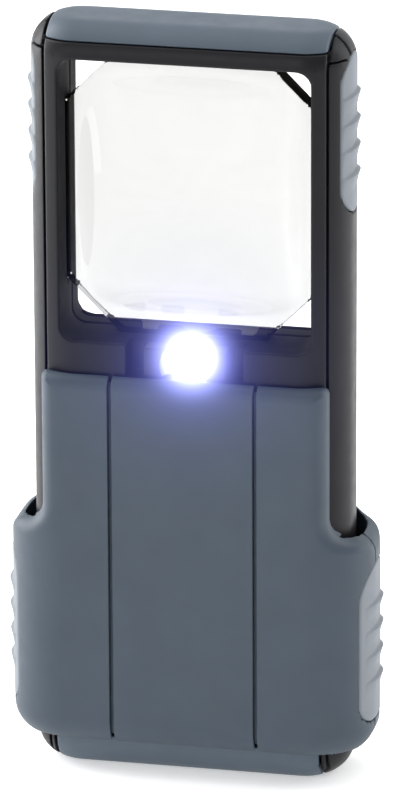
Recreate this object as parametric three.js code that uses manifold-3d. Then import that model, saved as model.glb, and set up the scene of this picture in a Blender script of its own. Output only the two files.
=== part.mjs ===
// A slide-out pocket magnifier with a light: a black body that carries the lens, an LED and three
// AAA cells, and a sleeve of two covers that slides up the body to close over the lens.
// Millimetres, +Z up along the body, +X to the right. The lens is looked at from the front, -Y.
import * as THREE from "three";
import { mergeVertices } from "three/addons/utils/BufferGeometryUtils.js";
import Module from "manifold-3d";

const wasm = await Module();
wasm.setup();

// ---------------------------------------------------------------- driving dimensions

const GAP = 0.3; // clearance between pieces that touch on the real object
const PAST = 2; // how far a cutting tool runs past the face that it opens

// Heights count from a level inside the body's rolled bottom end, and the finished part stands
// BASE higher than it is drawn, with its lowest face at zero.
const BASE = 1.6;

const BODY = {
  halfWidth: 21,
  halfDepth: 6.75,
  bottom: -BASE,
  top: 99.35,
  sideRadius: 6.5,
  bottomCorner: 4.8,
  topCorner: 4.6,
  bottomRoll: 4.3,
  topRoll: 4.6,
};
const SHELL_SPLIT = -1.5; // Y of the joint between front and rear pieces of body and sleeve

const PANEL = { halfWidth: 18.25, edgeDepth: 2.35, wall: 1.25 }; // the flat front of the body
const WINDOW = { halfWidth: 16.4, bottom: 57.4, top: 94.9, corner: 2, wall: 0.9 };
const REAR_FLARE = { front: 4.4, size: 1.6 }; // where the window widens towards the back
const CAP_BOTTOM = 97.35; // lower edge of the top cap
const CAP_HOLLOW = { halfWidth: 16.5, halfDepth: 4.3, top: 98 };
const EAR = { bottom: 96.2, tie: 0.45, tieBottom: 95.9, tieFront: -4.8 };

const CELL = { radius: 5.2, length: 44.5, nubRadius: 1.9, nub: 0.8, pitch: 10.75 };
const BAY = { halfWidth: 16.9, bottom: 2.2, top: 50.9, deck: 1 };
const CONTACT = { thickness: 0.4, halfWidth: 4.4, halfDepth: 3 };
const SPRING = { wire: 0.25, turns: 3, base: 3.6, tip: 2.2 };

// The lens: a flat flange held between the two shells, and a dome on each side of it.
const LENS = {
  halfWidth: 17.2,
  halfHeight: 19.55,
  cornerCut: 8.4,
  front: -1.6,
  back: 1,
  domeRadius: 100,
  domeHeight: 1.3,
  domeHalfWidth: 13.6,
  domeHalfHeight: 15.3,
  domeCorner: 3,
  domeSkirt: 2,
};

const NOTCH = { halfWidth: 7.6, bottom: 52.9, back: -3.4, wall: 1, wallInner: 5.7, wallBottom: 52.2 };
const LED = { z: 54.8, radius: 1.5, apex: -4.1, flange: 1.85, flangeFront: -2, base: -1.2 };
const CUP = { back: -3, backRadius: 1.75, frontRadius: 3.4 }; // the cone in front of the LED
const LED_LEAD = { size: 0.45, spacing: 1.27, end: 2.6 };
const BOARD = { halfWidth: 11.5, front: 0.9, back: 1.9, bottom: 52.4, top: 55.7 };
const SCREW = { x: 14.3, z: 53.9, head: 1.5, shank: 0.75, post: 1.75, postBack: 4.2, headFront: 5.9 };

const DOOR = { halfWidth: 17.3, wall: 1.2, flange: 0.7, tongue: 0.8, top: 50.6 };
const DOOR_TONGUE = { front: 3.9, back: 4.6 };
const CAP_FLOOR = { halfWidth: 17.4, thickness: 0.9, lip: 3.4, lipWall: 1.35 };

const SLEEVE = {
  halfWidth: 24.1,
  halfDepth: 8.6,
  bottom: 2,
  top: 53.3,
  sideRadius: 8.2,
  bottomCorner: 6,
  bottomRoll: 4,
  topRoll: 2,
  neck: 18.85,
  neckRadius: 2.4,
  neckCorner: 1,
  shoulder: 32.4,
  shoulderFillet: 3,
  shoulderRun: 2.1,
  shoulderDrop: 3.8,
};
const BORE = { halfWidth: 22.3, halfDepth: 7.1, sideRadius: 6.6, neckGap: 0.35 };
const GROOVE = { x: 9.5, halfWidth: 0.23, depth: 0.5 };
const TRACK = { x: 13, halfWidth: 0.8, depth: 0.6, bottom: 4, top: 52 };
const KEY = { halfWidth: 0.5, depth: 0.75, bottom: 5, top: 8 };

const RIB = { pitch: 3.5, count: 4, radius: 1, inset: 0.45, height: 0.5 };
const GRIP_WALL = 1;
const UPPER_GRIP = { halfDepth: 3.8, bottom: 75.2, top: 96.2, foot: 3.7, firstRib: 80.1 };
const LOWER_GRIP = { halfDepth: 4.9, bottom: 6.6, top: 28.2, foot: 2.6, firstRib: 12 };

const PAD = { x: 6, halfSize: 1.7, z: 47.5, thickness: 0.4, sunk: 0.05 };
const BRIDGE = { halfWidth: 7.6, halfHeight: 1.2, thickness: 0.35, lift: 0.3, bump: 0.8 };

const ARC = { side: 4, corner: 3, roll: 3, round: 20, small: 4 };

// ---------------------------------------------------------------- materials

const material = (color, roughness, metalness = 0, extra = {}) =>
  new THREE.MeshStandardMaterial({ color, roughness, metalness, ...extra });
const BLACK = material(0x2b2b2f, 0.5);
const BLUE_GREY = material(0x56606c, 0.55);
const LIGHT_GREY = material(0x939aa2, 0.7);
const CLEAR = material(0xf2f4f6, 0.03, 0, { transparent: true, opacity: 0.35 });
const LED_CLEAR = material(0xf4f6ff, 0.1);
const NICKEL = material(0xb9bcc0, 0.3, 1);
const CELL_JACKET = material(0x3d5a80, 0.4);
const BOARD_GREEN = material(0x1f5c3a, 0.6);
const RESISTOR_BLACK = material(0x18181a, 0.5);

// ---------------------------------------------------------------- solids

const MERGE = 1e-4;

/** A closed three.js geometry as a manifold-3d solid. */
function solid(geometry) {
  geometry.deleteAttribute("normal");
  geometry.deleteAttribute("uv");
  const merged = mergeVertices(geometry, MERGE);
  return new wasm.Manifold(
    new wasm.Mesh({
      numProp: 3,
      vertProperties: new Float32Array(merged.attributes.position.array),
      triVerts: new Uint32Array(merged.index.array),
    }),
  );
}

/** A manifold-3d solid as a named mesh of the part. */
function piece(name, shape, look) {
  const made = shape.getMesh();
  const geometry = new THREE.BufferGeometry();
  geometry.setAttribute("position", new THREE.BufferAttribute(made.vertProperties, 3));
  geometry.setIndex(new THREE.BufferAttribute(made.triVerts, 1));
  geometry.translate(0, 0, BASE);
  geometry.computeVertexNormals();
  const mesh = new THREE.Mesh(geometry, look);
  mesh.name = name;
  return mesh;
}

const join = (first, ...rest) => rest.reduce((sum, next) => sum.add(next), first);
const cut = (first, ...rest) => rest.reduce((left, next) => left.subtract(next), first);

function box(x0, x1, y0, y1, z0, z1) {
  const geometry = new THREE.BoxGeometry(x1 - x0, y1 - y0, z1 - z0);
  geometry.translate((x0 + x1) / 2, (y0 + y1) / 2, (z0 + z1) / 2);
  return solid(geometry);
}

// An outline is drawn in (y, z) for the x axis, in (x, z) for the y axis and in (x, y) for z.
const vector = (x, y, z) => new THREE.Vector3(x, y, z);
const ALONG = {
  x: new THREE.Matrix4().makeBasis(vector(0, 1, 0), vector(0, 0, 1), vector(1, 0, 0)),
  y: new THREE.Matrix4().makeBasis(vector(1, 0, 0), vector(0, 0, 1), vector(0, -1, 0)),
  z: new THREE.Matrix4(),
};

/** An outline pushed along an axis from low to high. */
function prism(outline, axis, low, high, curveSegments = ARC.corner) {
  const depth = high - low;
  const geometry = new THREE.ExtrudeGeometry(outline, { depth, bevelEnabled: false, curveSegments });
  geometry.translate(0, 0, axis === "y" ? -high : low);
  geometry.applyMatrix4(ALONG[axis]);
  return solid(geometry);
}

/** An outline pushed along Y from low to high and grown by size, with a sloping rim past each end. */
function bevelled(outline, low, high, thickness, size) {
  const geometry = new THREE.ExtrudeGeometry(outline, {
    depth: high - low,
    bevelThickness: thickness,
    bevelSize: size,
    bevelSegments: 1,
    curveSegments: ARC.corner,
  });
  geometry.translate(0, 0, -high);
  geometry.applyMatrix4(ALONG.y);
  return solid(geometry);
}

/** A rectangle with one radius at its two lower corners and one at its two upper corners. */
function roundedOutline(u0, u1, v0, v1, lower, upper = lower) {
  const shape = new THREE.Shape();
  shape.moveTo(u0 + lower, v0);
  shape.absarc(u1 - lower, v0 + lower, lower, -Math.PI / 2, 0);
  shape.absarc(u1 - upper, v1 - upper, upper, 0, Math.PI / 2);
  shape.absarc(u0 + upper, v1 - upper, upper, Math.PI / 2, Math.PI);
  shape.absarc(u0 + lower, v0 + lower, lower, Math.PI, 1.5 * Math.PI);
  return shape;
}

/** A bar that is rounded seen from above, from the front and from the side. */
function roundedBar(size) {
  const { halfWidth: w, halfDepth: d, bottom, top } = size;
  const plan = roundedOutline(-w, w, -d, d, size.sideRadius);
  const front = roundedOutline(-w, w, bottom, top, size.bottomCorner, size.topCorner);
  const side = roundedOutline(-d, d, bottom, top, size.bottomRoll, size.topRoll);
  return prism(plan, "z", bottom - PAST, top + PAST, ARC.side)
    .intersect(prism(front, "y", -d - PAST, d + PAST, ARC.corner))
    .intersect(prism(side, "x", -w - PAST, w + PAST, ARC.roll));
}

/** The same bar with its surface moved out by a distance, or in by a negative one. */
function grown(size, by) {
  const radii = ["sideRadius", "bottomCorner", "topCorner", "bottomRoll", "topRoll"];
  const bar = { ...size, bottom: size.bottom - by, top: size.top + by };
  bar.halfWidth += by;
  bar.halfDepth += by;
  radii.forEach((radius) => (bar[radius] += by));
  return bar;
}

/** A turned shape about the line through (x, z) along Y. The profile lists [radius, y], front first. */
function turned(profile, x, z, segments = ARC.round) {
  const points = profile.map(([radius, y]) => new THREE.Vector2(radius, -y));
  const geometry = new THREE.LatheGeometry(points.reverse(), segments);
  geometry.rotateX(Math.PI);
  geometry.translate(x, 0, z);
  return solid(geometry);
}

const rod = (radius, y0, y1, x, z, segments = ARC.round) =>
  turned([[0, y0], [radius, y0], [radius, y1], [0, y1]], x, z, segments);

/** A turned shape about the line through (x, y) along Z. The profile lists [radius, z], lowest first. */
function upright(profile, x, y, segments = ARC.round) {
  const geometry = new THREE.LatheGeometry(
    profile.map(([radius, z]) => new THREE.Vector2(radius, z)),
    segments,
  );
  geometry.rotateX(Math.PI / 2);
  geometry.translate(x, y, 0);
  return solid(geometry);
}

// ---------------------------------------------------------------- the body's casing

const bodyBar = roundedBar(BODY);
const FRONT = -BODY.halfDepth;
const FAR = BODY.halfWidth + PAST;
const DEEP = BODY.halfDepth + PAST;

const windowOutline = (grow) =>
  roundedOutline(
    -WINDOW.halfWidth - grow,
    WINDOW.halfWidth + grow,
    WINDOW.bottom - grow,
    WINDOW.top + grow,
    WINDOW.corner + grow,
  );

/** The lens flange from the front: a rectangle with four cut corners, moved out by a distance. */
function lensOutline(grow) {
  const middle = (WINDOW.bottom + WINDOW.top) / 2;
  const w = LENS.halfWidth + grow;
  const h = LENS.halfHeight + grow;
  const c = LENS.cornerCut + grow * (2 - Math.SQRT2);
  const corners = [
    [w, c - h], [w, h - c], [w - c, h], [c - w, h],
    [-w, h - c], [-w, c - h], [c - w, -h], [w - c, -h],
  ];
  return new THREE.Shape(corners.map(([x, z]) => new THREE.Vector2(x, z + middle)));
}

/** The grip's outline from the side: a half-round top, straight edges and rounded lower corners. */
function gripOutline(grip, grow = 0) {
  const radius = grip.halfDepth + grow;
  const foot = grip.foot + grow;
  const low = grip.bottom + grip.foot;
  const shape = new THREE.Shape();
  shape.absarc(foot - radius, low, foot, -Math.PI, -Math.PI / 2);
  shape.absarc(radius - foot, low, foot, -Math.PI / 2, 0);
  shape.absarc(0, grip.top - grip.halfDepth, radius, 0, Math.PI);
  return shape;
}

/** Black ends of the front panel that close the body's two top corners beside the cap. */
function ear(side) {
  const inner = PANEL.halfWidth + GAP;
  const [x0, x1] = side > 0 ? [inner, FAR] : [-FAR, -inner];
  return bodyBar.intersect(
    box(x0, x1, -DEEP, SHELL_SPLIT - GAP / 2, EAR.bottom, BODY.top + PAST),
  );
}

function frontShell() {
  const back = FRONT + PANEL.edgeDepth;
  const panelBox = box(
    -PANEL.halfWidth, PANEL.halfWidth, -DEEP, back, -PAST, CAP_BOTTOM - GAP,
  );
  const bay = box(
    -BAY.halfWidth + GAP, BAY.halfWidth - GAP, FRONT + PANEL.wall, DEEP,
    CAP_FLOOR.lip + GAP, BAY.top - GAP,
  );
  const plate = cut(bodyBar.intersect(panelBox), bay);
  const wall = cut(
    prism(windowOutline(WINDOW.wall), "y", back - PAST, LENS.back),
    prism(lensOutline(GAP), "y", LENS.front - GAP, DEEP),
  );
  const tie = box(
    -PANEL.halfWidth - GAP - EAR.tie, PANEL.halfWidth + GAP + EAR.tie,
    EAR.tieFront, SHELL_SPLIT - GAP, EAR.tieBottom, CAP_BOTTOM - GAP,
  );
  const posts = [-1, 1].map((side) =>
    rod(SCREW.post, back - 1, SCREW.postBack, side * SCREW.x, SCREW.z),
  );
  const bores = [-1, 1].map((side) =>
    rod(SCREW.shank + GAP, SHELL_SPLIT, DEEP, side * SCREW.x, SCREW.z),
  );
  const capPocket = box(
    -CAP_FLOOR.halfWidth - GAP, CAP_FLOOR.halfWidth + GAP, -DEEP, DEEP,
    -PAST, CAP_FLOOR.lip + GAP,
  );
  const notch = box(
    -NOTCH.halfWidth, NOTCH.halfWidth, -DEEP, NOTCH.back, NOTCH.bottom, WINDOW.bottom + 1,
  );
  const notchOuter = NOTCH.halfWidth + NOTCH.wall;
  const notchWalls = [
    [-notchOuter, -NOTCH.wallInner],
    [NOTCH.wallInner, notchOuter],
  ].map(([x0, x1]) =>
    box(x0, x1, back - 1, NOTCH.back + NOTCH.wall, NOTCH.wallBottom, WINDOW.bottom - GAP),
  );
  const ledRelief = rod(LED.flange + GAP, NOTCH.back - 1, LED.base + 2 * GAP, 0, LED.z);
  const tracks = [-1, 1].map((side) =>
    box(
      side * TRACK.x - TRACK.halfWidth, side * TRACK.x + TRACK.halfWidth,
      -DEEP, FRONT + TRACK.depth, TRACK.bottom, TRACK.top,
    ),
  );
  const padReach = PAD.halfSize + GAP;
  const padPockets = [-1, 1].map((side) =>
    box(
      side * PAD.x - padReach, side * PAD.x + padReach,
      -DEEP, FRONT + PAD.sunk + PAD.thickness + GAP, PAD.z - padReach, PAD.z + padReach,
    ),
  );
  const opening = prism(windowOutline(0), "y", -DEEP, DEEP);
  return cut(
    join(plate, wall, tie, ear(-1), ear(1), ...posts, ...notchWalls),
    opening, capPocket, notch, ledRelief, ...bores, ...tracks, ...padPockets,
  );
}

function rearShell() {
  const panelSeat = FRONT + PANEL.edgeDepth + GAP;
  const pocketHalf = PANEL.halfWidth + GAP;
  const doorHalf = DOOR.halfWidth + GAP;
  const deckTop = BAY.top + BAY.deck;
  const cavityTop = WINDOW.bottom - WINDOW.wall;
  const earSplit = SHELL_SPLIT + GAP / 2;
  const tieHalf = pocketHalf + EAR.tie + GAP;
  const capHalf = CAP_FLOOR.halfWidth + GAP;
  const cavities = [
    box(-pocketHalf, pocketHalf, -DEEP, panelSeat, -PAST, BODY.top + PAST),
    box(-pocketHalf, pocketHalf, -DEEP, DEEP, CAP_BOTTOM - GAP, BODY.top + PAST),
    box(-tieHalf, tieHalf, -DEEP, earSplit, EAR.tieBottom - GAP, BODY.top + PAST),
    box(pocketHalf - GAP, FAR, -DEEP, earSplit, EAR.bottom - GAP, BODY.top + PAST),
    box(-FAR, GAP - pocketHalf, -DEEP, earSplit, EAR.bottom - GAP, BODY.top + PAST),
    box(-BAY.halfWidth, BAY.halfWidth, -DEEP, DEEP, BAY.bottom, BAY.top),
    box(-BAY.halfWidth, BAY.halfWidth, -DEEP, 4.7, deckTop, cavityTop + GAP),
    box(-doorHalf, doorHalf, DOOR_TONGUE.front - GAP, DEEP, -PAST, BAY.top),
    box(
      -doorHalf - DOOR.tongue, doorHalf + DOOR.tongue,
      DOOR_TONGUE.front - GAP, DOOR_TONGUE.back + GAP, -PAST, BAY.top,
    ),
    box(-capHalf, capHalf, -DEEP, DEEP, -PAST, CAP_FLOOR.thickness + GAP),
    prism(windowOutline(WINDOW.wall + GAP), "y", -DEEP, LENS.back + GAP),
    prism(windowOutline(0), "y", -DEEP, DEEP),
    bevelled(windowOutline(0), BODY.halfDepth, DEEP, BODY.halfDepth - REAR_FLARE.front, REAR_FLARE.size),
  ];
  for (const side of [-1, 1]) {
    cavities.push(
      rod(SCREW.head + GAP, SCREW.headFront - GAP, DEEP, side * SCREW.x, SCREW.z),
      rod(SCREW.shank + GAP, 0, DEEP, side * SCREW.x, SCREW.z),
      gripShell(UPPER_GRIP, BODY, side, GAP),
    );
  }
  return cut(bodyBar, ...cavities);
}

function topCap() {
  const half = PANEL.halfWidth;
  const cap = bodyBar.intersect(box(-half, half, -DEEP, DEEP, CAP_BOTTOM, BODY.top + PAST));
  const hollow = box(
    -CAP_HOLLOW.halfWidth, CAP_HOLLOW.halfWidth, -CAP_HOLLOW.halfDepth, CAP_HOLLOW.halfDepth,
    CAP_BOTTOM - PAST, CAP_HOLLOW.top,
  );
  return cut(cap, hollow);
}

// ---------------------------------------------------------------- grips

/** The skin of a bar inside a grip's outline, on one side; with clearance, the pocket for it. */
function gripShell(grip, size, side, clearance = 0) {
  const skin = cut(
    roundedBar(grown(size, clearance ? PAST / 2 : 0)),
    roundedBar(grown(size, -GRIP_WALL - clearance)),
  );
  const [x0, x1] = side > 0 ? [0, FAR + PAST] : [-FAR - PAST, 0];
  return skin.intersect(prism(gripOutline(grip, clearance), "x", x0, x1));
}

function grip(size, layout, side) {
  const ribX = side * (size.halfWidth - RIB.inset);
  const limit = cut(roundedBar(grown(size, RIB.height)), roundedBar(grown(size, -GRIP_WALL))).intersect(
    prism(gripOutline(layout, -GAP), "x", -FAR - PAST, FAR + PAST),
  );
  const ribs = Array.from({ length: RIB.count }, (_, i) =>
    rod(
      RIB.radius, -layout.halfDepth, layout.halfDepth,
      ribX, layout.firstRib + i * RIB.pitch, ARC.small * 2,
    ).intersect(limit),
  );
  return join(gripShell(layout, size, side), ...ribs);
}

// ---------------------------------------------------------------- lens and light

/** A disc with two bulging faces, limited to a rounded rectangle with sloping sides. */
function domes(middle) {
  const { domeRadius: radius, domeHeight, domeSkirt: skirt } = LENS;
  const rim = 21;
  const steps = 6;
  const centre = (LENS.front + LENS.back) / 2;
  const apex = (LENS.back - LENS.front) / 2 + domeHeight;
  const half = Array.from({ length: steps + 1 }, (_, i) => {
    const r = (rim * i) / steps;
    return [r, apex - radius + Math.sqrt(radius * radius - r * r)];
  });
  const profile = [
    ...half.map(([r, y]) => [r, centre - y]),
    ...half.reverse().map(([r, y]) => [r, centre + y]),
  ];
  const w = LENS.domeHalfWidth - skirt;
  const h = LENS.domeHalfHeight - skirt;
  const outline = roundedOutline(-w, w, middle - h, middle + h, LENS.domeCorner - skirt);
  const limit = bevelled(outline, LENS.front, LENS.back, skirt, skirt);
  return turned(profile, 0, middle, ARC.round * 1.6).intersect(limit);
}

function lens() {
  const middle = (WINDOW.bottom + WINDOW.top) / 2;
  return join(prism(lensOutline(0), "y", LENS.front, LENS.back), domes(middle));
}

function led() {
  const dome = Array.from({ length: ARC.small + 1 }, (_, i) => {
    const angle = (i / ARC.small) * (Math.PI / 2);
    const y = LED.apex + LED.radius * (1 - Math.cos(angle));
    return [LED.radius * Math.sin(angle), y];
  });
  const bulb = turned(
    [
      ...dome,
      [LED.radius, LED.flangeFront],
      [LED.flange, LED.flangeFront],
      [LED.flange, LED.base],
      [0, LED.base],
    ],
    0,
    LED.z,
  );
  const half = LED_LEAD.size / 2;
  const leads = [-1, 1].map((side) => {
    const x = side * LED_LEAD.spacing;
    return box(x - half, x + half, LED.base - 0.5, LED_LEAD.end, LED.z - half, LED.z + half);
  });
  return join(bulb, ...leads);
}

function ledHolder() {
  const half = 5.4;
  const behindPanel = NOTCH.back - GAP;
  const cavityTop = WINDOW.bottom - WINDOW.wall - GAP;
  const face = box(
    -half, half, FRONT + GAP / 2, behindPanel + PAST / 4, NOTCH.bottom + GAP, WINDOW.bottom - GAP,
  );
  const foot = box(-half, half, behindPanel, LED.base + 2 * GAP, BOARD.bottom, cavityTop);
  const faceLimit = box(-half, half, -DEEP, behindPanel, BOARD.bottom, WINDOW.bottom);
  return cut(
    join(face.intersect(faceLimit), foot),
    turned(
      [[0, FRONT - GAP], [CUP.frontRadius, FRONT - GAP], [CUP.backRadius, CUP.back], [0, CUP.back]],
      0,
      LED.z,
    ),
    rod(CUP.backRadius, CUP.back - GAP, DEEP, 0, LED.z),
    rod(LED.flange + GAP, LED.flangeFront - GAP, DEEP, 0, LED.z),
  );
}

function circuitBoard() {
  const reach = LED_LEAD.size / 2 + GAP;
  const holes = [-1, 1].map((side) => {
    const x = side * LED_LEAD.spacing;
    return box(x - reach, x + reach, -DEEP, DEEP, LED.z - reach, LED.z + reach);
  });
  const { halfWidth, front, back, bottom, top } = BOARD;
  return cut(box(-halfWidth, halfWidth, front, back, bottom, top), ...holes);
}

const resistor = () => box(6, 9.2, BOARD.front - GAP - 0.6, BOARD.front - GAP, 53.2, 54.8);

function screw(side) {
  const { x, z, head, shank, headFront } = SCREW;
  const tail = SCREW.postBack - PAST;
  const body = turned(
    [[0, tail - 1], [shank, tail], [shank, headFront], [head, headFront], [head, 6.4], [0, 6.6]],
    side * x,
    z,
  );
  const slot = 0.25;
  const reach = 0.9;
  const cx = side * x;
  return cut(
    body,
    box(cx - reach, cx + reach, 6.2, DEEP, z - slot, z + slot),
    box(cx - slot, cx + slot, 6.2, DEEP, z - reach, z + reach),
  );
}

// ---------------------------------------------------------------- cells and contacts

const CELL_FOOT = BAY.bottom + 2 * GAP + CONTACT.thickness; // where a cell's end or its spring starts
const CELL_HEAD = BAY.top - 2 * GAP - CONTACT.thickness;

/** One AAA cell, with its positive nub up or down. */
function cell(x, up) {
  const { radius, length, nubRadius, nub } = CELL;
  const profile = [
    [0, 0], [radius - 0.4, 0], [radius, 0.4], [radius, length - nub - 0.4],
    [radius - 0.4, length - nub], [nubRadius, length - nub], [nubRadius, length], [0, length],
  ];
  const standing = up
    ? profile.map(([r, z]) => [r, CELL_HEAD - length + z])
    : profile.map(([r, z]) => [r, CELL_FOOT + length - z]).reverse();
  return upright(standing, x, 0);
}

/** The centre line of a cone-shaped coil between two heights. */
class Coil extends THREE.Curve {
  constructor(x, z0, z1) {
    super();
    Object.assign(this, { x, z0, z1 });
  }
  getPoint(t, target = new THREE.Vector3()) {
    const angle = t * SPRING.turns * 2 * Math.PI;
    const radius = SPRING.base + (SPRING.tip - SPRING.base) * t;
    const z = this.z0 + (this.z1 - this.z0) * t;
    return target.set(this.x + radius * Math.cos(angle), radius * Math.sin(angle), z);
  }
}

function spring(x, zBase, zTip) {
  const section = new THREE.Shape();
  section.absarc(0, 0, SPRING.wire, 0, 2 * Math.PI);
  const geometry = new THREE.ExtrudeGeometry(section, {
    extrudePath: new Coil(x, zBase, zTip),
    steps: SPRING.turns * 10,
    curveSegments: 2,
  });
  return solid(geometry);
}

/** A flat contact plate that reaches over the cells between two bay positions. */
function contact(x0, x1, z) {
  const { halfWidth, halfDepth, thickness } = CONTACT;
  return box(x0 - halfWidth, x1 + halfWidth, -halfDepth, halfDepth, z, z + thickness);
}

// ---------------------------------------------------------------- battery door

function batteryDoor() {
  const { halfWidth: half, flange, tongue, top } = DOOR;
  const inner = -FRONT - DOOR.wall;
  const { front, back } = DOOR_TONGUE;
  const { halfWidth: capHalf, thickness, lip, lipWall } = CAP_FLOOR;
  const panel = box(-half, half, inner, DEEP, -PAST, top);
  const flanges = [-1, 1].map((side) => {
    const [x0, x1] = side > 0 ? [half - flange, half] : [-half, flange - half];
    return box(x0, x1, front, inner + 1, -PAST, top);
  });
  const tongues = [-1, 1].map((side) => {
    const [x0, x1] = side > 0 ? [half - flange, half + tongue] : [-half - tongue, flange - half];
    return box(x0, x1, front, back, BAY.bottom, top - GAP);
  });
  const floor = box(-capHalf, capHalf, -DEEP, DEEP, -PAST, thickness);
  const frontLip = box(-capHalf, capHalf, -DEEP, FRONT + lipWall, -PAST, lip);
  return join(panel, ...flanges, ...tongues, floor, frontLip).intersect(bodyBar);
}

// ---------------------------------------------------------------- sleeve

/** The sleeve from the front: a wide lower half, shoulders, and a narrow upper tongue. */
function sleeveOutline() {
  const s = SLEEVE;
  const { halfWidth: w, bottomCorner: r, neck, shoulderFillet: f, neckCorner: c } = s;
  const right = Math.PI / 2;
  const shape = new THREE.Shape();
  shape.moveTo(r - w, s.bottom);
  shape.absarc(w - r, s.bottom + r, r, -right, 0);
  shape.lineTo(w, s.shoulder - s.shoulderDrop);
  shape.quadraticCurveTo(w, s.shoulder, w - s.shoulderRun, s.shoulder);
  shape.absarc(neck + f, s.shoulder + f, f, -right, -2 * right, true);
  shape.absarc(neck - c, s.top - c, c, 0, right);
  shape.absarc(c - neck, s.top - c, c, right, 2 * right);
  shape.absarc(-neck - f, s.shoulder + f, f, 0, -right, true);
  shape.lineTo(s.shoulderRun - w, s.shoulder);
  shape.quadraticCurveTo(-w, s.shoulder, -w, s.shoulder - s.shoulderDrop);
  shape.absarc(r - w, s.bottom + r, r, 2 * right, 3 * right);
  return shape;
}

/** The sleeve as a hollow tube with a tongue in front of the body and one behind it. */
function sleeveTube() {
  const s = SLEEVE;
  const { halfWidth: w, halfDepth: d, bottom, top, neck } = s;
  const neckStart = s.shoulder + s.shoulderFillet;
  const plan = prism(
    roundedOutline(-w, w, -d, d, s.sideRadius), "z", bottom - PAST, neckStart, ARC.side,
  );
  const neckPlan = prism(
    roundedOutline(-neck, neck, -d, d, s.neckRadius), "z", s.shoulder, top + PAST, ARC.roll,
  );
  const front = prism(sleeveOutline(), "y", -d - PAST, d + PAST, ARC.corner);
  const side = prism(
    roundedOutline(-d, d, bottom, top, s.bottomRoll, s.topRoll),
    "x", -w - PAST, w + PAST, ARC.roll,
  );
  const bore = prism(
    roundedOutline(
      -BORE.halfWidth, BORE.halfWidth, -BORE.halfDepth, BORE.halfDepth, BORE.sideRadius,
    ),
    "z", -PAST, s.shoulder + GAP, ARC.side,
  );
  const neckHalf = BODY.halfWidth + BORE.neckGap;
  const neckBore = prism(
    roundedOutline(
      -neckHalf, neckHalf, -BORE.halfDepth, BORE.halfDepth, BODY.sideRadius + BORE.neckGap,
    ),
    "z", -PAST, top + PAST, ARC.side,
  );
  const outer = join(plan, neckPlan).intersect(front).intersect(side);
  return cut(outer, bore, neckBore);
}

/** Two shallow lines that run up the front and the back of the sleeve and over its rolled ends. */
function grooveCutter() {
  const s = SLEEVE;
  const g = GROOVE.depth;
  const band = (x) =>
    box(x - GROOVE.halfWidth, x + GROOVE.halfWidth, -DEEP - PAST, DEEP + PAST, 0, s.top + PAST);
  const core = prism(
    roundedOutline(
      g - s.halfDepth, s.halfDepth - g, s.bottom + g, s.top - g, s.bottomRoll - g, s.topRoll - g,
    ),
    "x", -FAR, FAR, ARC.roll,
  );
  return cut(join(band(-GROOVE.x), band(GROOVE.x)), core);
}

const sleeve = cut(
  sleeveTube(),
  grooveCutter(),
  gripShell(LOWER_GRIP, SLEEVE_BAR(), -1, GAP),
  gripShell(LOWER_GRIP, SLEEVE_BAR(), 1, GAP),
);

/** The bar that the lower half of the sleeve is part of, for the grips set into its sides. */
function SLEEVE_BAR() {
  return { ...SLEEVE, topCorner: SLEEVE.bottomCorner };
}

function frontCover() {
  const s = SLEEVE;
  const far = s.halfWidth + PAST;
  const half = sleeve.intersect(
    box(-far, far, -DEEP - PAST, SHELL_SPLIT - GAP / 2, -PAST, s.top + PAST),
  );
  const keys = [-1, 1].map((side) =>
    box(
      side * TRACK.x - KEY.halfWidth, side * TRACK.x + KEY.halfWidth,
      -BORE.halfDepth - 0.5, -BORE.halfDepth + KEY.depth, KEY.bottom, KEY.top,
    ),
  );
  const reach = BRIDGE.halfHeight + GAP;
  const pocket = box(
    -BRIDGE.halfWidth - GAP, BRIDGE.halfWidth + GAP,
    -BORE.halfDepth - BRIDGE.thickness - 2 * GAP, DEEP, PAD.z - reach, PAD.z + reach,
  );
  return cut(join(half, ...keys), pocket);
}

function rearCover() {
  const s = SLEEVE;
  const far = s.halfWidth + PAST;
  return sleeve.intersect(
    box(-far, far, SHELL_SPLIT + GAP / 2, DEEP + PAST, -PAST, s.top + PAST),
  );
}

/** The strip that joins the two pads, and lights the LED, when the sleeve is all the way down. */
function switchBridge() {
  const back = -BORE.halfDepth - GAP;
  const strip = box(
    -BRIDGE.halfWidth, BRIDGE.halfWidth, back - BRIDGE.thickness, back,
    PAD.z - BRIDGE.halfHeight, PAD.z + BRIDGE.halfHeight,
  );
  const bumps = [-1, 1].map((side) =>
    rod(BRIDGE.bump, back - 0.1, back + BRIDGE.lift, side * PAD.x, PAD.z, 2 * ARC.small),
  );
  return join(strip, ...bumps);
}

// ---------------------------------------------------------------- assembly

function switchPad(side) {
  const { x, z, halfSize: half, thickness, sunk } = PAD;
  const front = FRONT + sunk;
  return box(side * x - half, side * x + half, front, front + thickness, z - half, z + half);
}

const left = -CELL.pitch;
const right = CELL.pitch;
const lowPlate = BAY.bottom + GAP;
const highPlate = CELL_HEAD + GAP;
const springLow = CELL_FOOT + SPRING.wire;
const springLowTip = CELL_HEAD - CELL.length - GAP - SPRING.wire;
const springHigh = CELL_HEAD - SPRING.wire;
const springHighTip = CELL_FOOT + CELL.length + GAP + SPRING.wire;

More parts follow.
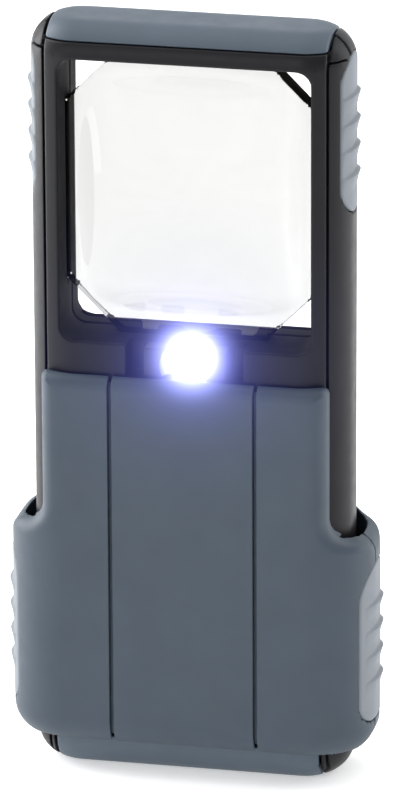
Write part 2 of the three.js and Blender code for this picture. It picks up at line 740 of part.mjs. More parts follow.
const body = new THREE.Group();
body.add(
  piece("front_shell", frontShell(), BLACK),
  piece("rear_shell", rearShell(), BLACK),
  piece("top_cap", topCap(), BLUE_GREY),
  piece("upper_grip_left", grip(BODY, UPPER_GRIP, -1), LIGHT_GREY),
  piece("upper_grip_right", grip(BODY, UPPER_GRIP, 1), LIGHT_GREY),
  piece("lens", lens(), CLEAR),
  piece("led", led(), LED_CLEAR),
  piece("led_holder", ledHolder(), BLACK),
  piece("circuit_board", circuitBoard(), BOARD_GREEN),
  piece("resistor", resistor(), RESISTOR_BLACK),
  piece("switch_pad_left", switchPad(-1), NICKEL),
  piece("switch_pad_right", switchPad(1), NICKEL),
  piece("shell_screw_left", screw(-1), NICKEL),
  piece("shell_screw_right", screw(1), NICKEL),
  piece("battery_left", cell(left, true), CELL_JACKET),
  piece("battery_centre", cell(0, false), CELL_JACKET),
  piece("battery_right", cell(right, true), CELL_JACKET),
  piece("spring_left", spring(left, springLow, springLowTip), NICKEL),
  piece("spring_centre", spring(0, springHigh, springHighTip), NICKEL),
  piece("spring_right", spring(right, springLow, springLowTip), NICKEL),
  piece("contact_bottom_bridge", contact(left, 0, lowPlate), NICKEL),
  piece("contact_bottom_single", contact(right, right, lowPlate), NICKEL),
  piece("contact_top_single", contact(left, left, highPlate), NICKEL),
  piece("contact_top_bridge", contact(0, right, highPlate), NICKEL),
);

const door = new THREE.Group();
door.add(piece("battery_door", batteryDoor(), BLUE_GREY));

const slider = new THREE.Group();
slider.add(
  piece("front_cover", frontCover(), BLUE_GREY),
  piece("rear_cover", rearCover(), BLUE_GREY),
  piece("lower_grip_left", grip(SLEEVE_BAR(), LOWER_GRIP, -1), LIGHT_GREY),
  piece("lower_grip_right", grip(SLEEVE_BAR(), LOWER_GRIP, 1), LIGHT_GREY),
  piece("switch_bridge", switchBridge(), NICKEL),
);

const magnifier = new THREE.Group();
magnifier.add(body, door, slider);

export default magnifier;
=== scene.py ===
import math

import bpy
import numpy as np
from mathutils import Matrix, Vector


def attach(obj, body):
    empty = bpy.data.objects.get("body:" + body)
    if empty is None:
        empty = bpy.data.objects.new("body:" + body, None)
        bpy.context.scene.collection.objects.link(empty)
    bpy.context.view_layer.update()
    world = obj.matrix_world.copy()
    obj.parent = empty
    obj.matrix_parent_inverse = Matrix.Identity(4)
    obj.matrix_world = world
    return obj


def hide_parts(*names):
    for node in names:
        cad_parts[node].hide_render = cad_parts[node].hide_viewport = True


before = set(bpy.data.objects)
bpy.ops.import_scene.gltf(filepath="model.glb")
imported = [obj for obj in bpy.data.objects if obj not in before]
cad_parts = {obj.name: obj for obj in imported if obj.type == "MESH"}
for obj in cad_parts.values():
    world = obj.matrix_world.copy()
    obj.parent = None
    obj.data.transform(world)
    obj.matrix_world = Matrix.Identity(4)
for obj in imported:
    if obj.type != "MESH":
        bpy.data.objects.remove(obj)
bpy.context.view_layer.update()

# Every length below is in millimetres until a mesh is made. X right, -Y front, +Z up.
MM = 0.001
# Heights count from a level inside the rolled bottom end; the finished part stands this much higher.
BASE = np.array([0.0, 0.0, 1.6])

# ---------------------------------------------------------------- signed distances


def rect(u, v, u0, u1, v0, v1, low=0.0, high=None):
    """Distance to a rectangle with one radius at its lower corners and one at its upper corners."""
    high = low if high is None else high
    r = np.where(v > (v0 + v1) / 2, high, low)
    qu = np.abs(u - (u0 + u1) / 2) - (u1 - u0) / 2 + r
    qv = np.abs(v - (v0 + v1) / 2) - (v1 - v0) / 2 + r
    return np.minimum(np.maximum(qu, qv), 0) + np.hypot(np.maximum(qu, 0), np.maximum(qv, 0)) - r


def both(a, b, r=0.0):
    """Where two shapes overlap, with their common edge rounded to radius r."""
    if np.ndim(r) == 0 and r == 0:
        return np.maximum(a, b)
    return np.minimum(np.maximum(a, b), -r) + np.hypot(np.maximum(a + r, 0), np.maximum(b + r, 0))


def either(a, b, r=0.0):
    """Two shapes joined, with a fillet of radius r between them."""
    return -both(-a, -b, r)


def less(a, b, r=0.0):
    """The first shape with the second cut out of it."""
    return both(a, -b, r)


def soft(a, b, k):
    """Where two shapes overlap, blended over a width k."""
    h = np.maximum(k - np.abs(a - b), 0) / k
    return np.maximum(a, b) + h * h * k / 4


def block(x, y, z, x0, x1, y0, y1, z0, z1):
    """Distance to a square-edged block."""
    dx = np.maximum(x0 - x, x - x1)
    dy = np.maximum(y0 - y, y - y1)
    dz = np.maximum(z0 - z, z - z1)
    return np.maximum(np.maximum(dx, dy), dz)


def rod(x, y, z, cx, cz, r, y0, y1):
    """Distance to a round rod that runs front to back."""
    return np.maximum(np.hypot(x - cx, z - cz) - r, np.maximum(y0 - y, y - y1))


# ---------------------------------------------------------------- surfaces from distances


SETTLE_STEPS = 4
LEAST_SLOPE = 0.2  # squared; keeps a step short where the field is nearly flat


def ruler(*spans):
    """Grid lines along one axis from (start, end, step) spans."""
    lines = [np.linspace(a, b, max(2, round((b - a) / step) + 1)) for a, b, step in spans]
    return np.unique(np.round(np.concatenate(lines), 4))


def mirrored(*spans):
    """The same spans on both sides of zero."""
    right = ruler(*spans)
    return np.unique(np.concatenate([-right, right]))


def gradient(field, p, h=0.01):
    """The field's slope at each point, from differences over h."""
    g = np.empty_like(p)
    for axis in range(3):
        step = np.zeros(3)
        step[axis] = h
        g[:, axis] = (field(*(p + step).T) - field(*(p - step).T)) / (2 * h)
    return g


def settle(field, p, reach):
    """Moves points onto the zero surface of a distance field."""
    for _ in range(SETTLE_STEPS):
        g = gradient(field, p)
        move = (field(*p.T) / np.maximum((g * g).sum(1), LEAST_SLOPE))[:, None] * g
        length = np.linalg.norm(move, axis=1, keepdims=True)
        p = p - move * np.minimum(1, reach / np.maximum(length, 1e-9))
    return p


def surface(field, xs, ys, zs):
    """Quads on the zero surface of a distance field, one vertex in each grid cell that it crosses."""
    lines = (xs, ys, zs)
    grid = np.meshgrid(xs, ys, zs, indexing="ij")
    d = field(*grid)
    inside = d < 0
    cells = tuple(n - 1 for n in d.shape)
    total = np.zeros(cells + (3,))
    count = np.zeros(cells)
    crossings = []
    for axis in range(3):
        lo = [slice(None)] * 3
        hi = [slice(None)] * 3
        lo[axis] = slice(0, -1)
        hi[axis] = slice(1, None)
        lo, hi = tuple(lo), tuple(hi)
        cross = inside[lo] != inside[hi]
        gap = np.where(cross, d[lo] - d[hi], 1)
        t = np.where(cross, d[lo] / gap, 0)
        at = [g[lo] * cross for g in grid]
        at[axis] = (grid[axis][lo] * (1 - t) + grid[axis][hi] * t) * cross
        a, b = [i for i in range(3) if i != axis]
        for da in (0, 1):
            for db in (0, 1):
                part = [slice(None)] * 3
                part[a] = slice(da, cells[a] + da)
                part[b] = slice(db, cells[b] + db)
                part = tuple(part)
                count += cross[part]
                for i in range(3):
                    total[..., i] += at[i][part]
        crossings.append((axis, cross, inside[lo]))
    used = count > 0
    number = np.full(cells, -1)
    number[used] = np.arange(used.sum())
    points = total[used] / count[used][:, None]
    quads = []
    for axis, cross, starts_inside in crossings:
        u, v = (axis + 1) % 3, (axis + 2) % 3
        where = np.argwhere(cross)
        keep = np.ones(len(where), bool)
        for other in (u, v):
            keep &= (where[:, other] > 0) & (where[:, other] < len(lines[other]) - 1)
        where = where[keep]
        corners = []
        for du, dv in ((1, 1), (0, 1), (0, 0), (1, 0)):
            cell = where.copy()
            cell[:, u] -= du
            cell[:, v] -= dv
            corners.append(number[tuple(cell.T)])
        quad = np.stack(corners, 1)
        outward = starts_inside[tuple(where.T)]
        quads.append(np.where(outward[:, None], quad, quad[:, ::-1]))
    return points, np.concatenate(quads)


def piece(name, node, body, field, xs, ys, zs, mat, reach=0.2, inner=None):
    """A mesh on the zero surface of a field, with the field's own normals, in place of a CAD node.

    The optional inner look is a material, and a test of where the faces that take it have their middles.
    """
    points, quads = surface(field, xs, ys, zs)
    points = settle(field, points, reach)
    mesh = bpy.data.meshes.new(name)
    mesh.from_pydata(((points + BASE) * MM).tolist(), [], quads.tolist())
    mesh.validate()
    mesh.shade_smooth()
    g = gradient(field, points)
    length = np.maximum(np.linalg.norm(g, axis=1, keepdims=True), 1e-9)
    if len(mesh.vertices) == len(points):
        mesh.normals_split_custom_set_from_vertices((g / length).tolist())
    mesh.materials.append(mat)
    if inner is not None:
        mesh.materials.append(inner[0])
        middles = np.empty(3 * len(mesh.polygons))
        mesh.polygons.foreach_get("center", middles)
        within = inner[1](*(middles.reshape(-1, 3) / MM - BASE).T)
        mesh.polygons.foreach_set("material_index", within.astype(np.int32))
    obj = bpy.data.objects.new(name, mesh)
    bpy.context.scene.collection.objects.link(obj)
    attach(obj, body)
    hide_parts(node)
    return obj


# ---------------------------------------------------------------- materials


class Nodes:
    """A material's node tree, with its Principled shader as .shader."""

    def __init__(self, name):
        self.material = bpy.data.materials.new(name)
        self.material.use_nodes = True
        self.tree = self.material.node_tree
        self.shader = self.tree.nodes["Principled BSDF"]
        self.where = self.add("ShaderNodeTexCoord").outputs["Object"]

    def add(self, kind, **values):
        node = self.tree.nodes.new(kind)
        for key, value in values.items():
            if hasattr(node, key):
                setattr(node, key, value)
            else:
                node.inputs[key.replace("_", " ").title()].default_value = value
        return node

    def link(self, source, target):
        self.tree.links.new(source, target)

    def noise(self, scale, detail=4.0, roughness=0.55):
        node = self.add("ShaderNodeTexNoise")
        node.inputs["Scale"].default_value = scale
        node.inputs["Detail"].default_value = detail
        node.inputs["Roughness"].default_value = roughness
        self.link(self.where, node.inputs["Vector"])
        return node.outputs["Fac"]

    def ramp(self, value, stops):
        """A colour ramp from (position, colour) stops."""
        node = self.add("ShaderNodeValToRGB")
        while len(node.color_ramp.elements) < len(stops):
            node.color_ramp.elements.new(0.5)
        for element, (position, color) in zip(node.color_ramp.elements, stops):
            element.position = position
            element.color = (*color, 1)
        self.link(value, node.inputs["Fac"])
        return node.outputs["Color"]

    def span(self, value, low, high, out_low, out_high):
        node = self.add("ShaderNodeMapRange")
        for name, number in (
            ("From Min", low), ("From Max", high), ("To Min", out_low), ("To Max", out_high),
        ):
            node.inputs[name].default_value = number
        self.link(value, node.inputs["Value"])
        return node.outputs["Result"]

    def bump(self, height, strength, distance, normal=None):
        node = self.add("ShaderNodeBump")
        node.inputs["Strength"].default_value = strength
        node.inputs["Distance"].default_value = distance
        self.link(height, node.inputs["Height"])
        if normal is not None:
            self.link(normal, node.inputs["Normal"])
        return node.outputs["Normal"]

    def set(self, **values):
        for key, value in values.items():
            self.shader.inputs[key.replace("_", " ")].default_value = value


def shade(color, factor):
    """A colour made lighter or darker."""
    return tuple(c * factor for c in color)


def moulded(name, color, roughness, grain=2600.0, depth=0.00002, spread=0.07, specular=0.5):
    """Moulded plastic: a fine spark-eroded grain, faint cloudiness and uneven gloss."""
    n = Nodes(name)
    cloud = n.noise(160.0, 3.0)
    tint = n.ramp(cloud, [(0.3, shade(color, 1 - spread)), (0.7, shade(color, 1 + spread))])
    n.link(tint, n.shader.inputs["Base Color"])
    fine = n.noise(grain, 2.0, 0.6)
    gloss = n.noise(420.0, 4.0)
    n.link(n.span(gloss, 0.3, 0.7, roughness - 0.05, roughness + 0.05), n.shader.inputs["Roughness"])
    n.link(n.bump(fine, 0.35, depth), n.shader.inputs["Normal"])
    n.set(Specular_IOR_Level=specular)
    return n.material


def metal(name, color, roughness):
    """Bare or plated metal with a faint streaky finish."""
    n = Nodes(name)
    streak = n.noise(900.0, 5.0)
    tint = n.ramp(streak, [(0.3, shade(color, 0.85)), (0.7, color)])
    n.link(tint, n.shader.inputs["Base Color"])
    n.link(n.span(streak, 0.3, 0.7, roughness - 0.07, roughness + 0.1), n.shader.inputs["Roughness"])
    n.link(n.bump(streak, 0.15, 0.00003), n.shader.inputs["Normal"])
    n.set(Metallic=1.0)
    return n.material


BLACK = moulded("black_plastic", (0.008, 0.008, 0.010), 0.42, specular=0.22)
BLACK_INNER = moulded("black_plastic_spark_eroded", (0.013, 0.013, 0.015), 0.75, specular=0.12)
BLUE = moulded("blue_grey_plastic", (0.043, 0.061, 0.083), 0.5, spread=0.05, specular=0.40)
BLUE_CAP = moulded("blue_grey_cap_plastic", (0.066, 0.091, 0.120), 0.5, spread=0.05, specular=0.45)
GREY = moulded("light_grey_grip", (0.21, 0.23, 0.255), 0.62, spread=0.04, specular=0.35)
NICKEL = metal("nickel_plate", (0.62, 0.61, 0.58), 0.28)
STEEL = metal("dark_zinc_screw", (0.2, 0.2, 0.205), 0.35)


def lens_material():
    """Clear acrylic, very slightly smeared, with a mid-grey see-through colour that is painted shade,
    dimming the bright backdrop seen through it.
    """
    n = Nodes("lens_acrylic")
    smear = n.noise(70.0, 3.0)
    n.link(n.span(smear, 0.4, 0.75, 0.0, 0.025), n.shader.inputs["Roughness"])
    # Painted shade: the grey base colour dims everything seen through the lens.
    n.set(Base_Color=(0.50, 0.50, 0.493, 1), IOR=1.49, Transmission_Weight=1.0)
    return n.material


def led_material():
    """Water-clear epoxy lit from inside."""
    n = Nodes("led_epoxy")
    n.set(
        Base_Color=(0.95, 0.96, 1.0, 1), Roughness=0.08,
        Emission_Color=(0.72, 0.76, 1.0, 1), Emission_Strength=56.0,
    )
    swirl = n.noise(600.0, 2.0)
    n.link(n.bump(swirl, 0.05, 0.00002), n.shader.inputs["Normal"])
    return n.material


LENS = lens_material()
# Painted shade: a dark brown for parts of the lens's edge, standing in for the shadow there.
PAINTED_SHADE_LENS_RIM = moulded("painted_shade_lens_rim", (0.009, 0.006, 0.003), 0.8, specular=0.04)
LIT = led_material()

# ---------------------------------------------------------------- sizes, as in the CAD

# Half widths (X) end in _SIDE, half depths (Y) in _FACE.
SPLIT = -1.5  # the plane where the front and the rear halves meet
BODY_SIDE = 21
BODY_FACE = 6.75
BODY_BOTTOM = -1.6
BODY_TOP = 99.35
BODY_CORNER = 6.5
BODY_ROLL = {"bottom": 4.3, "top": 4.6}

SLEEVE_SIDE = 24.1
SLEEVE_FACE = 8.6
SLEEVE_CORNER = 8.3
SLEEVE_BOTTOM = 2.0
SLEEVE_TOP = 53.3
SHOULDER = 32.4
NECK_SIDE = 18.85
GROOVE_X = 9.5

PANEL_SIDE = 18.25
CAP_BOTTOM = 97.35
EAR_BOTTOM = 95.95
WINDOW_SIDE = 16.4
WINDOW_BOTTOM = 57.4
WINDOW_TOP = 94.9

LENS_Y = -0.3
LENS_Z = 76.15
LENS_SPHERE = 100
DOME_TOP = 2.6
FLANGE_FACE = 1.3
FLANGE_SIDE = 17.2
FLANGE_END = 19.55
FLANGE_CUT = 28.35

BAY_SIDE = 16.9
BAY_BOTTOM = 2.2
BAY_TOP = 50.9
DOOR_SIDE = 17.3
RAIL_Y = 4.25

LED_Z = 54.8
LED_RADIUS = 1.5
SCREW_X = 14.3
SCREW_Z = 53.9
SCREW_RADIUS = 1.05
POST_RADIUS = 1.75
TRACK_X = 13

GRIP_WALL = 1.0
RIB_PITCH = 3.5
RIBS = 4
RIB_HEIGHT = 0.5
UPPER = {"half": 3.8, "bottom": 75.2, "top": 96.2, "foot": 3.7, "rib": 80.1}
LOWER = {"half": 4.9, "bottom": 6.6, "top": 28.2, "foot": 2.6, "rib": 12.0}


def body_bar(x, y, z):
    """The body's outer form: a bar with round sides and rolled ends."""
    plan = rect(x, y, -BODY_SIDE, BODY_SIDE, -BODY_FACE, BODY_FACE, BODY_CORNER)
    ends = np.maximum(BODY_BOTTOM - z, z - BODY_TOP)
    roll = np.where(z > 50, BODY_ROLL["top"], BODY_ROLL["bottom"])
    front = rect(x, z, -BODY_SIDE, BODY_SIDE, BODY_BOTTOM, BODY_TOP, 2.8, 1.8)
    return soft(both(plan, ends, roll), front, 0.3)


def sleeve_bar(x, y, z):
    """The sleeve's outer form: a wide lower part, and a narrower neck above rounded shoulders."""
    plan = rect(x, y, -SLEEVE_SIDE, SLEEVE_SIDE, -SLEEVE_FACE, SLEEVE_FACE, SLEEVE_CORNER)
    reach = either(z - SHOULDER, np.abs(x) - NECK_SIDE, 3.0)
    upper = both(reach, z - SLEEVE_TOP, 1.0)
    rolled = both(plan, np.maximum(upper, SLEEVE_BOTTOM - z), np.where(z > 20, 1.9, 4.0))
    low = rect(x, z, -SLEEVE_SIDE, SLEEVE_SIDE, SLEEVE_BOTTOM, SHOULDER, 4.5, 3.4)
    neck = rect(x, z, -NECK_SIDE, NECK_SIDE, 10, SLEEVE_TOP, 1.0)
    return soft(rolled, either(low, neck, 3.0), 0.2)


def window(x, z, grow=0.0):
    return rect(x, z, -WINDOW_SIDE, WINDOW_SIDE, WINDOW_BOTTOM, WINDOW_TOP, 2.0) - grow


def flange_outline(x, z):
    """The lens from the front: a rectangle with its four corners cut off."""
    ax = np.abs(x)
    az = np.abs(z - LENS_Z)
    corner = (ax + az - FLANGE_CUT) / math.sqrt(2)
    return both(np.maximum(ax - FLANGE_SIDE, az - FLANGE_END), corner, 0.03)


def grip_outline(y, z, grip):
    """A grip from the side: a half-round top, straight edges and rounded lower corners."""
    half = grip["half"]
    return rect(y, z, -half, half, grip["bottom"], grip["top"], grip["foot"], half - 0.01)


def grip_pocket(bar, y, z, grip, clearance):
    return np.maximum(grip_outline(y, z, grip) - clearance, -(bar + GRIP_WALL + 0.12))


def from_screw(ax, z):
    """Distance from the axis of the nearer of the two shell screws."""
    return np.hypot(ax - SCREW_X, z - SCREW_Z)


# ---------------------------------------------------------------- body pieces


def panel_slab(x, y, z):
    """The flat front panel, open behind where the cells lie."""
    slab = both(body_bar(x, y, z), np.abs(x) - PANEL_SIDE, 0.22)
    slab = both(slab, z - (CAP_BOTTOM - 0.3), 0.18)
    slab = both(slab, y + 4.4)
    return less(slab, block(x, y, z, -16.6, 16.6, -5.5, 9, 3.7, 50.6))


def window_wall(x, y, z):
    """The sloping frame round the window, with the rebate that the lens's flange lies in."""
    wall = np.maximum(window(x, z, 0.9), np.maximum(-5.0 - y, y - 1.0))
    return less(wall, np.maximum(flange_outline(x, z) - 0.08, -1.68 - y))


def corner_ear(x, y, z):
    """The front half's share of the casing beside the end cap, with a tie across behind the panel."""
    bar = body_bar(x, y, z)
    ear = both(bar, PANEL_SIDE + 0.3 - np.abs(x), 0.2)
    ear = both(ear, y - SPLIT + 0.12, 0.15)
    ear = both(ear, EAR_BOTTOM - z, 0.15)
    ear = less(ear, grip_outline(y, z, UPPER) - 0.28, 0.12)
    tie = block(x, y, z, -19, 19, -4.8, -1.8, 95.9, 97.05)
    return np.minimum(ear, both(tie, bar + 0.4))


def front_shell(x, y, z):
    ax = np.abs(x)
    shell = np.minimum(panel_slab(x, y, z), window_wall(x, y, z))
    led_cheek = block(ax, y, z, 5.7, 8.6, -5.5, -2.4, 52.2, 57.1)
    shell = np.minimum(shell, led_cheek)
    shell = less(shell, window(x, z), 0.32)
    door_mouth = block(x, y, z, -17.7, 17.7, -9, 9, -3, 3.7)
    shell = less(shell, door_mouth, 0.12)
    led_notch = block(x, y, z, -7.6, 7.6, -9, -3.4, 52.9, 58.5)
    shell = less(shell, led_notch, 0.2)
    shell = less(shell, rod(x, y, z, 0, LED_Z, 2.15, -4.4, 0))
    track = np.maximum(np.abs(ax - TRACK_X) - 0.8, np.maximum(y + 6.15, np.maximum(4 - z, z - 52)))
    shell = less(shell, track)
    pad = np.maximum(np.maximum(np.abs(ax - 6), np.abs(z - 47.5)) - 2.0, y + 6.0)
    shell = less(shell, pad)
    hole = from_screw(ax, z)
    post = np.maximum(hole - POST_RADIUS, np.maximum(-5.5 - y, y - 4.1))
    shell = np.minimum(shell, post)
    shell = less(shell, np.maximum(hole - SCREW_RADIUS, SPLIT - y))
    return np.minimum(shell, corner_ear(x, y, z))


def rear_shell(x, y, z):
    ax = np.abs(x)
    bar = body_bar(x, y, z)
    shell = less(bar, np.maximum(ax - PANEL_SIDE - 0.25, y + 4.1), 0.15)
    shell = less(shell, np.maximum(ax - PANEL_SIDE - 0.25, CAP_BOTTOM - 0.3 - z), 0.15)
    shell = less(shell, np.maximum(ax - 19.3, np.maximum(y - SPLIT - 0.12, 96.0 - z)))
    ear = np.maximum(PANEL_SIDE - ax, np.maximum(y - SPLIT - 0.12, EAR_BOTTOM - 0.2 - z))
    shell = less(shell, ear, 0.12)
    battery_bay = block(x, y, z, -BAY_SIDE, BAY_SIDE, -9, 9, BAY_BOTTOM, BAY_TOP)
    shell = less(shell, battery_bay)
    board_bay = block(x, y, z, -BAY_SIDE, BAY_SIDE, -9, 4.7, 51.9, 56.8)
    shell = less(shell, board_bay)
    doorway = np.maximum(ax - 17.6, np.maximum(3.6 - y, z - BAY_TOP))
    shell = less(shell, doorway, 0.12)
    rail = np.maximum(ax - 18.4, np.maximum(np.abs(y - RAIL_Y) - 0.65, z - BAY_TOP))
    shell = less(shell, rail)
    shell = less(shell, np.maximum(ax - 17.7, z - 1.2), 0.12)
    shell = less(shell, np.maximum(window(x, z, 1.2), y - 1.3))
    shell = less(shell, window(x, z), np.where(y > 3.5, 2.2, 0.1))
    hole = from_screw(ax, z)
    shell = less(shell, np.maximum(hole - POST_RADIUS, 5.6 - y), 0.12)
    shell = less(shell, np.maximum(hole - SCREW_RADIUS, -y))
    return less(shell, grip_pocket(bar, y, z, UPPER, 0.1), 0.1)


def top_cap(x, y, z):
    cap = both(body_bar(x, y, z), np.abs(x) - PANEL_SIDE, 0.3)
    cap = both(cap, CAP_BOTTOM - 0.18 - z, 0.22)
    return less(cap, np.maximum(np.maximum(np.abs(x) - 16.5, np.abs(y) - 4.3), z - 98.0))


def rib_height(y, z, first):
    """Four raised crescents: a steep upper edge, a long slope below it, and tapered ends."""
    arch = 0.22 * (y / 3.0) ** 2
    taper = np.clip(1 - (np.abs(y) / 4.1) ** 2.5, 0, 1) ** 0.8
    height = np.zeros_like(z)
    for i in range(RIBS):
        t = z - (first + i * RIB_PITCH + 0.35) + arch
        rise = np.clip((0.35 - t) / 0.4, 0, 1)
        rise = rise * rise * (3 - 2 * rise)
        fall = np.clip(1 + (t + 0.05) / 1.9, 0, 1)
        height = np.maximum(height, np.where(t > -0.05, rise, fall ** 1.3))
    return height * taper


def grip(bar_of, layout, side, crown):
    """A soft ribbed pad in one side of a bar."""

    def field(x, y, z):
        bar = bar_of(x, y, z)
        outer = bar - crown - RIB_HEIGHT * rib_height(y, z, layout["rib"])
        skin = np.maximum(outer, -(bar + GRIP_WALL - 0.05))
        pad = both(skin, grip_outline(y, z, layout), 0.22)
        return np.maximum(pad, -side * x)

    return field


def lens(x, y, z):
    """A flat flange with four cut corners, and a low dome with sloping sides on each face of it."""
    rise = np.abs(y - LENS_Y)
    flange = both(flange_outline(x, z), rise - FLANGE_FACE, 0.03)
    depth = rise + LENS_SPHERE - DOME_TOP
    dome = np.sqrt(x * x + (z - LENS_Z) ** 2 + depth ** 2) - LENS_SPHERE
    limit = rect(x, z, -13.6, 13.6, LENS_Z - 15.3, LENS_Z + 15.3, 3.0)
    skirt = (limit + np.maximum(rise - FLANGE_FACE, 0)) / math.sqrt(2)
    return either(flange, both(dome, skirt, 1.2), 1.2)


def led(x, y, z):
    """A domed bulb that faces forward, with a collar and two square leads."""
    r = np.hypot(x, z - LED_Z)
    bulb = np.where(y < -2.6, np.hypot(r, y + 2.6) - LED_RADIUS, np.maximum(r - LED_RADIUS, y + 1.3))
    collar = np.maximum(r - 1.85, np.abs(y + 1.6) - 0.38)
    lead = np.maximum(np.abs(np.abs(x) - 1.27) - 0.22, np.abs(z - LED_Z) - 0.22)
    lead = np.maximum(lead, np.abs(y - 0.5) - 2.1)
    return either(either(bulb, collar, 0.1), lead, 0.05)


def led_holder(x, y, z):
    """A block with a round cone in its face that the bulb looks out of, and a foot behind."""
    face = both(both(np.abs(x) - 5.4, z - 57.05, 0.3), both(-6.6 - y, 53.2 - z, 0.2), 0.3)
    face = np.maximum(face, y + 3.2)
    foot = block(x, y, z, -5.4, 5.4, -3.7, -0.6, 52.4, 56.2)
    r = np.hypot(x, z - LED_Z)
    cone = r - 1.75 - 0.45 * np.clip(-(y + 3.0), 0, 4)
    solid = less(np.minimum(face, foot), cone, 0.15)
    return less(solid, np.maximum(r - 2.15, -2.3 - y))


def battery_door(x, y, z):
    """The bay's back panel on two tongues, with the foot of the body as its end."""
    ax = np.abs(x)
    top = 50.6
    panel = np.maximum(ax - DOOR_SIDE, np.maximum(5.55 - y, z - top))
    flange = np.maximum(np.abs(ax - 16.95) - 0.35, np.maximum(3.9 - y, z - top))
    tongue = np.maximum(np.abs(ax - 17.35) - 0.75, np.abs(y - RAIL_Y) - 0.35)
    tongue = np.maximum(tongue, np.maximum(2.2 - z, z - 50.3))
    floor_plate = np.maximum(ax - 17.4, z - 0.9)
    lip = np.maximum(ax - 17.4, np.maximum(y + 5.4, z - 3.4))
    rails = np.minimum(tongue, np.minimum(floor_plate, lip))
    door = np.minimum(np.minimum(panel, flange), rails)
    door = both(body_bar(x, y, z), door, 0.18)
    pull_z = 43.5
    line = np.abs((z - pull_z) % 1.6 - 0.8) - 0.28
    pull = np.maximum(np.maximum(line, ax - 6), np.maximum(np.abs(z - pull_z) - 3.9, 6.4 - y))
    return less(door, pull, 0.1)


# ---------------------------------------------------------------- sleeve pieces


def sleeve(x, y, z):
    """Both covers as one: a hollow bar with two long grooves on each face and a pocket for each grip."""
    outer = sleeve_bar(x, y, z)
    bore = np.maximum(rect(x, y, -22.3, 22.3, -7.1, 7.1, 6.6), z - 32.7)
    neck = rect(x, y, -21.35, 21.35, -7.1, 7.1, 6.85)
    shell = less(outer, np.minimum(bore, neck), 0.15)
    groove = np.maximum(np.abs(np.abs(x) - GROOVE_X) - 0.22, -(outer + 0.75))
    shell = less(shell, groove, 0.1)
    return less(shell, grip_pocket(outer, y, z, LOWER, 0.12), 0.12)


def front_cover(x, y, z):
    """The front half of the sleeve, with two keys for the panel's tracks and a seat for the strip."""
    ax = np.abs(x)
    cover = both(sleeve(x, y, z), y - SPLIT + 0.1, 0.15)
    key_height = np.maximum(np.abs(z - 6.5) - 1.5, np.abs(y + 6.98) - 0.62)
    key = np.maximum(np.abs(ax - TRACK_X) - 0.5, key_height)
    cover = np.minimum(cover, key)
    strip_seat = block(x, y, z, -7.9, 7.9, -8.05, 0, 46, 49)
    return less(cover, strip_seat)


def rear_cover(x, y, z):
    return both(sleeve(x, y, z), SPLIT + 0.1 - y, 0.15)


# ---------------------------------------------------------------- build

# Grid lines are close together where there is an edge or a groove, and far apart on plain walls.
BODY_X = mirrored((0, 4, 1.0), (4, 8.4, 0.4), (8.4, 12, 0.9), (12, 17.8, 0.3), (17.8, 21.4, 0.25))
BODY_Y = ruler((-7.1, -5.0, 0.22), (-5.0, 3.4, 0.42), (3.4, 7.1, 0.3))
BODY_Z = ruler(
    (-2.0, 4.2, 0.28), (4.2, 45, 1.5), (45, 50, 0.5), (50, 60, 0.28), (60, 74.6, 1.2),
    (74.6, 92.5, 0.6), (92.5, 99.6, 0.24),
)
CAP_X = mirrored((0, 15, 1.0), (15, 18.5, 0.22))
CAP_Y = ruler((-7, 7, 0.25))
CAP_Z = ruler((97, 99.5, 0.16))
LENS_X_LINES = mirrored((0, 11, 0.6), (11, 14.6, 0.2), (14.6, 16.9, 0.35), (16.9, 17.5, 0.14))
LENS_Y_LINES = ruler(
    (-3.3, -1.9, 0.2), (-1.9, -1.3, 0.1), (-1.3, 0.7, 0.4), (0.7, 1.3, 0.1), (1.3, 2.7, 0.2),
)
LENS_Z_LINES = LENS_Z + mirrored(
    (0, 12.5, 0.6), (12.5, 16.3, 0.2), (16.3, 19.2, 0.38), (19.2, 19.9, 0.16),
)
DOOR_X = mirrored((0, 5.6, 1.0), (5.6, 6.4, 0.2), (6.4, 16, 1.0), (16, 18.4, 0.2))
DOOR_Y = ruler((-7, -5, 0.25), (-5, 3.6, 0.7), (3.6, 7, 0.2))
DOOR_Z = ruler((-1.9, 3.7, 0.2), (3.7, 39, 1.2), (39, 48, 0.16), (48, 50, 0.5), (50, 50.9, 0.15))
SLEEVE_X = mirrored((0, 9.1, 0.7), (9.1, 9.9, 0.1), (9.9, 15, 0.6), (15, 24.5, 0.27))
SLEEVE_Z = ruler((1.8, 9, 0.28), (9, 27, 0.5), (27, 37, 0.27), (37, 50, 0.8), (50, 53.6, 0.22))


def inside_window(x, y, z):
    return block(x, y, z, -17, 17, -6.3, 6.3, 56.8, 95.5) < 0


def lens_rim_for_painted_shade(x, y, z):
    """The parts of the flange's edge that take a painted shade, a dark brown standing in for shadow: the
    top right corner, and wherever it meets the walls.
    """
    edge = (np.abs(y - LENS_Y) < FLANGE_FACE + 0.02) & (flange_outline(x, z) > -0.2)
    at_wall = (np.abs(x) > 15.1) | (np.abs(z - LENS_Z) > 17.0)
    return edge & (at_wall | ((x > 0) & (z > LENS_Z)))


def make_body():
    dark_walls = (BLACK_INNER, inside_window)
    piece("casing_front", "front_shell", "body", front_shell,
          BODY_X, BODY_Y, BODY_Z, BLACK, inner=dark_walls)
    piece("casing_rear", "rear_shell", "body", rear_shell,
          BODY_X, BODY_Y, BODY_Z, BLACK, inner=dark_walls)
    piece("end_cap_top", "top_cap", "body", top_cap,
          CAP_X, CAP_Y, CAP_Z, BLUE_CAP)


